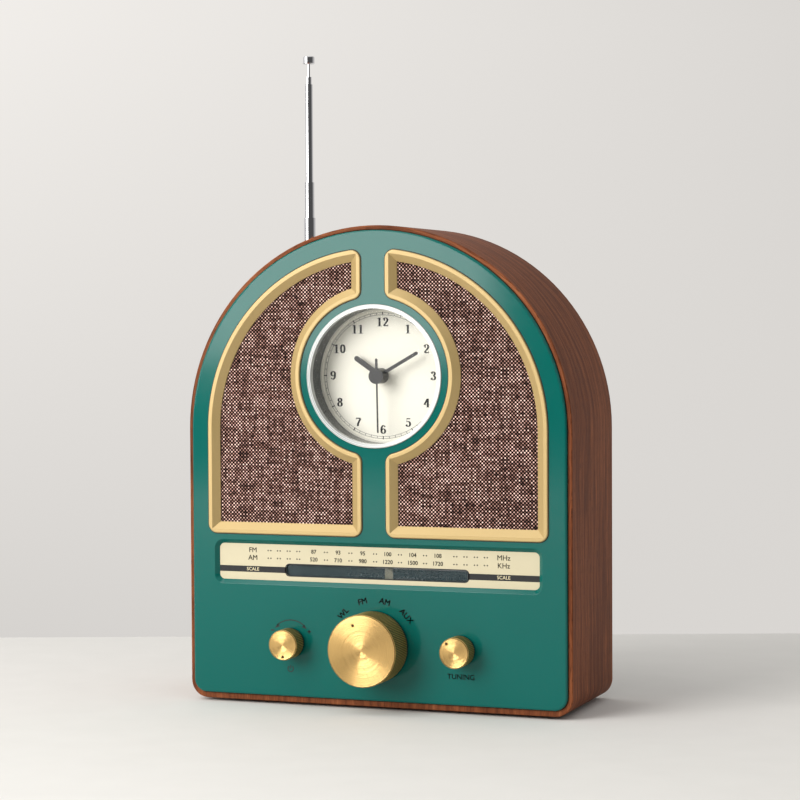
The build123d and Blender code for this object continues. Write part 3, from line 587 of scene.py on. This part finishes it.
def bold_lettering(text, height, weight, place):
    """The same letters struck four times a little apart, which thickens every stroke alike."""
    shifts = ((-weight, 0.0), (weight, 0.0), (0.0, -weight), (0.0, weight))
    return [(lettering(text, height), place @ Matrix.Translation((dx, dy, 0))) for dx, dy in shifts]


def oblong(width, height, bm=None, x=0.0, y=0.0):
    bm = bm or bmesh.new()
    place = Matrix.Translation((x, y, 0)) @ Matrix.Diagonal((width, height, 1, 1))
    bmesh.ops.create_grid(bm, x_segments=1, y_segments=1, size=0.5, matrix=place)
    return bm


def disc(radius, bm=None, x=0.0, y=0.0):
    bm = bm or bmesh.new()
    place = Matrix.Translation((x, y, 0))
    bmesh.ops.create_circle(bm, cap_ends=True, segments=16, radius=radius, matrix=place)
    return bm


def arc(cx, cy, rx, ry, start, end):
    """Points along an arc, by angles in degrees anticlockwise from +X."""
    count = max(6, int(abs(end - start) / 15))
    spread = [math.radians(start + (end - start) * k / count) for k in range(count + 1)]
    return [(cx + rx * math.cos(a), cy + ry * math.sin(a)) for a in spread]


def pen(bm, points, wide, thin):
    """A stroke of a broad pen: thick where it runs upright, thin where it runs level."""
    last = len(points) - 1
    sides = []
    for index, (x, y) in enumerate(points):
        before, after = points[max(index - 1, 0)], points[min(index + 1, last)]
        tx, ty = after[0] - before[0], after[1] - before[1]
        length = math.hypot(tx, ty)
        nx, ny = -ty / length, tx / length
        support = math.sqrt((wide * nx) ** 2 + (thin * ny) ** 2)
        ox, oy = wide * wide * nx / support, thin * thin * ny / support
        sides.append((bm.verts.new((x + ox, y + oy, 0)), bm.verts.new((x - ox, y - oy, 0))))
    for (a, b), (c, d) in zip(sides, sides[1:]):
        bm.faces.new((a, b, d, c))


def digit(figure, bm, shift, wide=0.108, thin=0.03):
    """One old-style clock figure, one unit tall, drawn with the broad pen."""
    def stroke(*parts):
        pen(bm, [(x + shift, y) for part in parts for x, y in part], wide, thin)

    def ball(x, y):
        disc(0.085, bm, x + shift, y)

    def bar(x, y, width, height=0.05):
        oblong(width, height, bm, x + shift, y)

    if figure == "0":
        stroke(arc(0.3, 0.5, 0.2, 0.47, 0, 360))
    elif figure == "1":
        stroke([(0.3, 0.02), (0.3, 0.98)])
        stroke([(0.3, 0.96), (0.2, 0.88), (0.1, 0.85)])
        bar(0.3, 0.025, 0.46)
    elif figure == "2":
        ball(0.15, 0.70)
        stroke(arc(0.28, 0.73, 0.2, 0.24, 170, -20), [(0.36, 0.45), (0.2, 0.25), (0.09, 0.08)])
        bar(0.32, 0.06, 0.46, 0.12)
        bar(0.52, 0.14, 0.04, 0.2)
    elif figure == "3":
        ball(0.14, 0.79)
        stroke(arc(0.26, 0.75, 0.17, 0.22, 160, -90))
        stroke(arc(0.26, 0.27, 0.21, 0.24, 90, -165))
        ball(0.13, 0.22)
    elif figure == "4":
        stroke([(0.4, 0.02), (0.4, 0.98)])
        stroke([(0.38, 0.97), (0.04, 0.3)])
        bar(0.31, 0.28, 0.56)
        bar(0.4, 0.025, 0.34)
    elif figure == "5":
        bar(0.31, 0.93, 0.38, 0.12)
        bar(0.135, 0.74, 0.045, 0.46)
        stroke(arc(0.27, 0.33, 0.21, 0.3, 130, -160))
        ball(0.13, 0.2)
    elif figure in "69":
        flip = figure == "9"

        def turn(points):
            return [(0.6 - x, 1.0 - y) if flip else (x, y) for x, y in points]

        stroke(turn(arc(0.3, 0.3, 0.2, 0.275, 0, 360)))
        stroke(turn(arc(0.38, 0.48, 0.28, 0.49, 90, 195)))
        (bx, by), = turn([(0.46, 0.84)])
        ball(bx, by)
    elif figure == "7":
        bar(0.31, 0.92, 0.5, 0.13)
        bar(0.075, 0.86, 0.04, 0.2)
        stroke([(0.53, 0.86), (0.36, 0.5), (0.27, 0.25), (0.26, 0.02)])
    elif figure == "8":
        stroke(arc(0.3, 0.755, 0.165, 0.215, 0, 360))
        stroke(arc(0.3, 0.27, 0.2, 0.245, 0, 360))


def hour_figure(number, height):
    """One or two figures, centred, as a flat drawing."""
    text = str(number)
    bm = bmesh.new()
    pitch = 0.68
    for index, figure in enumerate(text):
        digit(figure, bm, (index - (len(text) - 1) / 2) * pitch - 0.3)
    bmesh.ops.translate(bm, vec=(0, -0.5, 0), verts=bm.verts)
    bmesh.ops.scale(bm, vec=(height * 1.13, height, 1), verts=bm.verts)
    return bm


def dial_print(material):
    """Twelve upright figures, and the minute track with longer marks at the hours."""
    face = dial_face() - 0.02 * MM
    figures = []
    for hour in range(1, 13):
        angle = TURN * hour / 12
        radius = 29.1 * MM
        place = facing(CLOCK.x + radius * math.sin(angle), face, CLOCK.z + radius * math.cos(angle))
        figures.append((hour_figure(hour, 4.75 * MM), place))
    piece("dial_figures", sheet_of(figures, "dial_figures"), "cabinet", "hand_black", material)
    marks = []
    inner = 33.0 * MM
    track = 1.2 * MM
    for minute in range(60):
        length, width = (1.8 * MM, 0.5 * MM) if minute % 5 == 0 else (track, 0.22 * MM)
        angle = 6.0 * minute
        radius = inner + track / 2
        place = facing(CLOCK.x, face, CLOCK.z, angle) @ Matrix.Translation((0, radius, 0))
        marks.append((oblong(width, length), place))
    for radius in (inner, inner + track):
        ring = bmesh.new()
        outer = bmesh.ops.create_circle(ring, segments=120, radius=radius)["verts"]
        rim = list({e for v in outer for e in v.link_edges})
        grown = bmesh.ops.extrude_edge_only(ring, edges=rim)["geom"]
        moved = [g for g in grown if isinstance(g, bmesh.types.BMVert)]
        share = 1 - 0.16 * MM / radius
        bmesh.ops.scale(ring, vec=(share, share, 1), verts=moved)
        marks.append((ring, facing(CLOCK.x, face, CLOCK.z)))
    piece("minute_track", sheet_of(marks, "minute_track"), "cabinet", "hand_black", material)


def scale_print(dark, light):
    """Two rows of station numbers with dots between them, and the band along the slot."""
    face = SCALE_LOW.y - 0.005 * MM
    rows = (SLOT.z + 10.3 * MM, SLOT.z + 6.1 * MM)
    words = (("FM", "AM"), ("MHz", "KHz"))
    pitch, end_column = 14.3 * MM, 72.3 * MM
    numbers = (("87", "93", "95", "100", "104", "108"), ("520", "710", "980", "1220", "1500", "1720"))
    drawings = []
    for level, texts in zip(rows, numbers):
        for index, text in enumerate(texts):
            x = (index - 2.53) * pitch
            drawings += bold_lettering(text, 2.2 * MM, 0.07 * MM, facing(x, face, level))
    for side, pair in zip((-1, 1), words):
        for level, text in zip(rows, pair):
            drawings += bold_lettering(text, 2.8 * MM, 0.03 * MM, facing(side * end_column, face, level))
    between = [(index - 2.03) * pitch for index in range(5)]
    beyond = [side * x * MM for side in (-1, 1) for x in (45.3, 51.0, 56.8, 62.4)]
    for level in rows:
        for x in between + beyond:
            for side in (-1, 1):
                drawings.append((disc(0.40 * MM), facing(x + side * 0.8 * MM, face, level)))
    slot_half = 52.8 * MM
    band_level = SLOT.z - 0.1 * MM
    edge = SCALE_HIGH.x - 3.2 * MM
    for side in (-1, 1):
        middle = side * (slot_half + edge) / 2
        band = oblong(edge - slot_half + 1.0 * MM, 3.3 * MM)
        drawings.append((band, facing(middle, face, band_level)))
    piece("scale_numbers", sheet_of(drawings, "scale_numbers"), "cabinet", "hand_black", dark)
    # painted shadow: a thin black line round the slot's outline, where its edges lie in shade
    rim = bmesh.new()
    reach, rise, corner = slot_half + 0.1 * MM, 3.25 * MM, 2.4 * MM
    line = []
    for sx, sz, start in ((1, 1, 0), (-1, 1, 90), (-1, -1, 180), (1, -1, 270)):
        line += arc(sx * (reach - corner), sz * (rise - corner), corner, corner, start, start + 90)
    pen(rim, line + line[:2], 0.3 * MM, 0.3 * MM)
    slot_shadow_mesh = sheet_of([(rim, facing(0, face, SLOT.z))], "slot_painted_shadow")
    piece("slot_painted_shadow", slot_shadow_mesh, "cabinet", "hand_black", dark)
    labels = []
    for side in (-1, 1):
        words_at = facing(side * end_column, face - PRINT, band_level)
        labels.append((lettering("SCALE", 1.9 * MM), words_at))
    piece("scale_words", sheet_of(labels, "scale_words"), "cabinet", "scale_cream", light)


def panel_print(material):
    """Band names round the selector, arrows and signs at the volume knob, and the tuning label."""
    face = PANEL_FACE
    drawings = []
    for text, angle in (("WL", -46.8), ("FM", -16.2), ("AM", 13.7), ("AUX", 46.9)):
        place = facing(0, face, KNOB_Z, angle) @ Matrix.Translation((0, 24.9 * MM, 0))
        drawings += bold_lettering(text, 3.2 * MM, 0.16 * MM, place)
    volume, tuning = centre_of("volume_knob").x, centre_of("tuning_knob").x
    drawings += bold_lettering("TUNING", 2.9 * MM, 0.08 * MM, facing(tuning, face, KNOB_Z - 14.2 * MM))
    sweep = bmesh.new()
    reach = 12.4 * MM
    points = arc(0, 0, reach, reach, 131.7, 48.3)
    width = 0.28 * MM
    pen(sweep, points, width, width)
    for x, y, way in ((*points[0], -1), (*points[-1], 1)):
        heel = [(x - way * 0.4 * MM, y + 0.9 * MM), (x + way * 1.1 * MM, y - 1.6 * MM),
                (x - way * 1.9 * MM, y - 0.6 * MM)]
        sweep.faces.new([sweep.verts.new((px, py, 0)) for px, py in heel])
    drawings.append((sweep, facing(volume, face, KNOB_Z)))
    sign, bar = 2.1 * MM, 0.75 * MM
    aside, above = 10.8 * MM, KNOB_Z + 6.4 * MM
    for side in (-1, 1):
        drawings.append((oblong(sign, bar), facing(volume + side * aside, face, above)))
    drawings.append((oblong(bar, sign), facing(volume + aside, face, above)))
    power = bmesh.new()
    loop, line = 1.6 * MM, 0.30 * MM
    pen(power, arc(0, 0, loop, loop, 125, 415), line, line)
    oblong(2 * line, 2.0 * MM, power, 0, 1.0 * MM)
    drawings.append((power, facing(volume - 0.3 * MM, face, KNOB_Z - 14.3 * MM)))
    piece("panel_labels", sheet_of(drawings, "panel_labels"), "cabinet", "hand_black", material)


def section_loops(node, level):
    """Closed outlines, as (x, z) points, of a CAD piece where the plane y = level cuts it."""
    bm = bmesh.new()
    bm.from_mesh(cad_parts[node].data)
    everything = bm.verts[:] + bm.edges[:] + bm.faces[:]
    cut = bmesh.ops.bisect_plane(bm, geom=everything, plane_co=(0, level, 0), plane_no=(0, 1, 0))["geom_cut"]
    links = {}
    for edge in (g for g in cut if isinstance(g, bmesh.types.BMEdge)):
        a, b = [(round(v.co.x, 6), round(v.co.z, 6)) for v in edge.verts]
        if a != b:
            links.setdefault(a, set()).add(b)
            links.setdefault(b, set()).add(a)
    bm.free()
    loops = []
    while links:
        loop = [min(links)]
        while True:
            onward = [p for p in links.pop(loop[-1]) if p in links]
            if not onward:
                break
            loop.append(onward[0])
        loops.append(loop)
    return loops


def frame_seams(material):
    """Painted shade: a narrow black strip round each gold frame, where it drops into the panel's opening and
    the gap lies in shade.
    """
    for side in ("left", "right"):
        loops = section_loops(f"grille_frame_{side}", PANEL_FACE - 0.02 * MM)
        outer = max(loops, key=lambda loop: max(x for x, z in loop) - min(x for x, z in loop))
        # painted shade: a black line along the frame's outer outline
        seam = bmesh.new()
        pen(seam, outer + outer[:2], 0.42 * MM, 0.42 * MM)
        mesh = sheet_of([(seam, facing(0, PANEL_FACE, 0))], f"frame_shade_line_{side}")
        piece(f"frame_shade_line_{side}", mesh, "cabinet", "hand_black", material)


# ---------------------------------------------------------------- stage

EYE = Vector((0.45641, -1.20559, 0.21068))
YAW, PITCH, ROLL = math.radians(20.66), math.radians(-1.99), math.radians(-0.30)


def camera():
    data = bpy.data.cameras.new("camera")
    data.lens, data.sensor_width = 105.57, 36.0
    made = bpy.data.objects.new("camera", data)
    turn = Matrix.Rotation(YAW, 4, "Z") @ Matrix.Rotation(math.radians(90) + PITCH, 4, "X")
    made.matrix_world = Matrix.Translation(EYE) @ turn @ Matrix.Rotation(ROLL, 4, "Z")
    bpy.context.collection.objects.link(made)
    bpy.context.scene.camera = made


def table(material):
    """Pale table top whose far edge runs across the view behind the radio."""
    far, near, wide, thick = 1.557, -1.6, 3.0, 0.04
    ahead = Vector((-math.sin(YAW), math.cos(YAW), 0))
    bm = bmesh.new()
    bmesh.ops.create_cube(bm, size=1.0, matrix=Matrix.Diagonal((wide, far - near, thick, 1)))
    bmesh.ops.bevel(bm, geom=bm.edges[:], offset=0.003, segments=3, profile=0.5, affect="EDGES", material=-1)
    middle = Vector((EYE.x, EYE.y, -thick / 2)) + ahead * (far + near) / 2
    bmesh.ops.transform(bm, matrix=Matrix.Translation(middle) @ Matrix.Rotation(YAW, 4, "Z"), verts=bm.verts)
    top = bpy.data.objects.new("table", mesh_from(bm, "table", 40))
    top.data.materials.append(material)
    bpy.context.collection.objects.link(top)


def lamp(name, place, aim, size, power, colour):
    data = bpy.data.lights.new(name, "AREA")
    data.shape, data.size, data.size_y = "RECTANGLE", size[0], size[1]
    data.energy, data.color = power, colour
    made = bpy.data.objects.new(name, data)
    made.location = place
    made.rotation_mode = "QUATERNION"
    made.rotation_quaternion = (Vector(aim) - Vector(place)).to_track_quat("-Z", "Y")
    bpy.context.collection.objects.link(made)


class Room(Finish):
    """The room's light, told by direction: pale wall behind, dimmer room in front."""

    def __init__(self, name):
        self.material = bpy.data.worlds.new(name)
        self.material.use_nodes = True
        self.tree = self.material.node_tree
        self.shader = self.tree.nodes["Background"]
        self.coords = None

    def place(self):
        return self.node("ShaderNodeTexCoord", {}, {}, "Generated")


def studio():
    """Pale wall behind, dim ceiling and room, and a tall soft box at the left front."""
    room = Room("studio")
    x, y, z = room.xyz()
    aside = (x * math.cos(YAW) + y * math.sin(YAW)).clamped(-0.25, 0.25)
    low = z.clamped(-0.2, 0.2)
    behind = (y * 0.94 - x * 0.35 + 0.35).clamped()
    above = ((z - 0.12) * 1.6).clamped()
    wall = 0.74 + low * 0.42 - aside * (0.055 + (low + 0.078) * 2.3) - above * 0.22
    front = 0.08 + above * 0.72 + (0 - x).clamped() * 0.16
    level = behind * wall + (1 - behind) * front
    tint = room.mix(behind, (1.0, 1.0, 1.0), (1.0, 0.968, 0.930))
    room.set(Color=tint, Strength=level)
    bpy.context.scene.world = room.material
    bpy.context.scene.view_settings.view_transform = "Standard"
    middle, warm = (0, 0, 0.13), (1.0, 0.985, 0.96)
    lamp("key", (-0.86, -1.35, 0.72), middle, (1.05, 1.20), 30.5, warm)
    lamp("fill", (-0.60, -0.65, 1.56), middle, (0.9, 0.9), 5.6, warm)
    table(moulded("table_top", (0.70, 0.69, 0.665), (0.74, 0.73, 0.705), 0.85, 300.0, 0.01, 0.05))


# ---------------------------------------------------------------- the radio

def finish_nodes():
    """Finishes of the CAD pieces that show as they are, and of the hidden ones."""
    black = moulded("black_abs", (0.016, 0.016, 0.017), (0.022, 0.022, 0.023), 0.45)
    steel = plated_steel()
    chrome = polished_chrome()
    paint(walnut(), "case_shell")
    paint(gloss_green(), "front_panel")
    paint(satin_gold(), "grille_frame_left", "grille_frame_right")
    paint(printed_card("scale_card", (0.56, 0.500, 0.335), (0.60, 0.535, 0.360), 0.38), "scale_plate")
    paint(printed_card("dial_card", (0.80, 0.78, 0.68), (0.84, 0.82, 0.72), 0.42), "clock_dial")
    paint(smoked_acrylic(), "scale_window")
    paint(clear_acrylic(), "clock_lens")
    paint(cast_ring(), "clock_bezel")
    paint(moulded("tunnel_grey", (0.035, 0.040, 0.040), (0.070, 0.076, 0.075), 0.16), "clock_tunnel")
    paint(moulded("hand_black", (0.008, 0.008, 0.009), (0.014, 0.014, 0.015), 0.30, 1500.0, 0.01),
          "hour_hand", "minute_hand", "second_hand")
    paint(ivory_flag(), "pointer_rack")
    paint(moulded("cover_black", (0.014, 0.014, 0.015), (0.024, 0.024, 0.025), 0.55, 520.0, 0.09),
          "rear_cover", "battery_door", "clock_set_knob")
    paint(black, "clock_movement", "rail_brackets", "tuning_capacitor", "selector_switch", "board_parts",
          "dc_jack", "aux_jack", "battery_box", "antenna_bracket")
    paint(moulded("fibreboard", (0.30, 0.20, 0.12), (0.40, 0.28, 0.18), 0.7, 900.0, 0.1), "baffle_board")
    paint(moulded("white_acetal", (0.76, 0.76, 0.73), (0.82, 0.82, 0.79), 0.35),
          "idler_gear", "capacitor_gear")
    paint(moulded("laminate", (0.01, 0.10, 0.045), (0.02, 0.16, 0.07), 0.35), "main_board")
    paint(moulded("ferrite", (0.03, 0.03, 0.032), (0.06, 0.06, 0.065), 0.6, 1200.0, 0.05),
          "ferrite_rod", "speaker_magnet_left", "speaker_magnet_right")
    paint(moulded("enamelled_copper", (0.36, 0.13, 0.05), (0.50, 0.20, 0.09), 0.3), "ferrite_coil")
    paint(moulded("cell_jacket", (0.10, 0.11, 0.13), (0.16, 0.17, 0.20), 0.25), "aa_cell")
    paint(moulded("pressed_paper", (0.03, 0.03, 0.03), (0.06, 0.055, 0.05), 0.8, 1500.0, 0.2),
          "speaker_cone_left", "speaker_cone_right")
    paint(moulded("stoved_black", (0.02, 0.02, 0.02), (0.04, 0.04, 0.04), 0.4),
          "speaker_frame_left", "speaker_frame_right", "cover_screws")
    paint(moulded("foot_rubber", (0.012, 0.012, 0.012), (0.02, 0.02, 0.02), 0.75, 800.0, 0.06), "feet")
    paint(steel, "pointer_rail", "tuning_shaft", "volume_shaft", "selector_shaft", "volume_control",
          "tuning_bush", "control_nuts", "tuner_plate")
    paint(chrome, "antenna_swivel", "antenna_base", "antenna_section_2", "antenna_section_3",
          "antenna_section_4", "antenna_rod")


def build():
    camera()
    studio()
    finish_nodes()
    cloth = tweed(THREAD)
    for side in ("left", "right"):
        grille_cloth(side, cloth)
    for name, flutes, dot, angle in (("selector", 132, 14.3 * MM, -20.0), ("volume", 56, 6.4 * MM, 180.0),
                                     ("tuning", 56, 6.4 * MM, -40.0)):
        low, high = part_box(f"{name}_knob")
        centre, radius = (low + high) / 2, (high.x - low.x) / 2
        knob(name, flutes, dot, angle, spun_brass(f"spun_brass_{name}", centre),
             fluted_brass(f"fluted_brass_{name}", centre, radius, high.y))
    ink = moulded("black_ink", (0.004, 0.004, 0.005), (0.008, 0.008, 0.009), 0.55)
    dial_print(ink)
    scale_print(ink, moulded("cream_ink", (0.78, 0.68, 0.42), (0.82, 0.72, 0.46), 0.45))
    frame_seams(ink)
    panel_print(moulded("panel_ink", (0.001, 0.008, 0.007), (0.002, 0.012, 0.011), 0.55))


build()
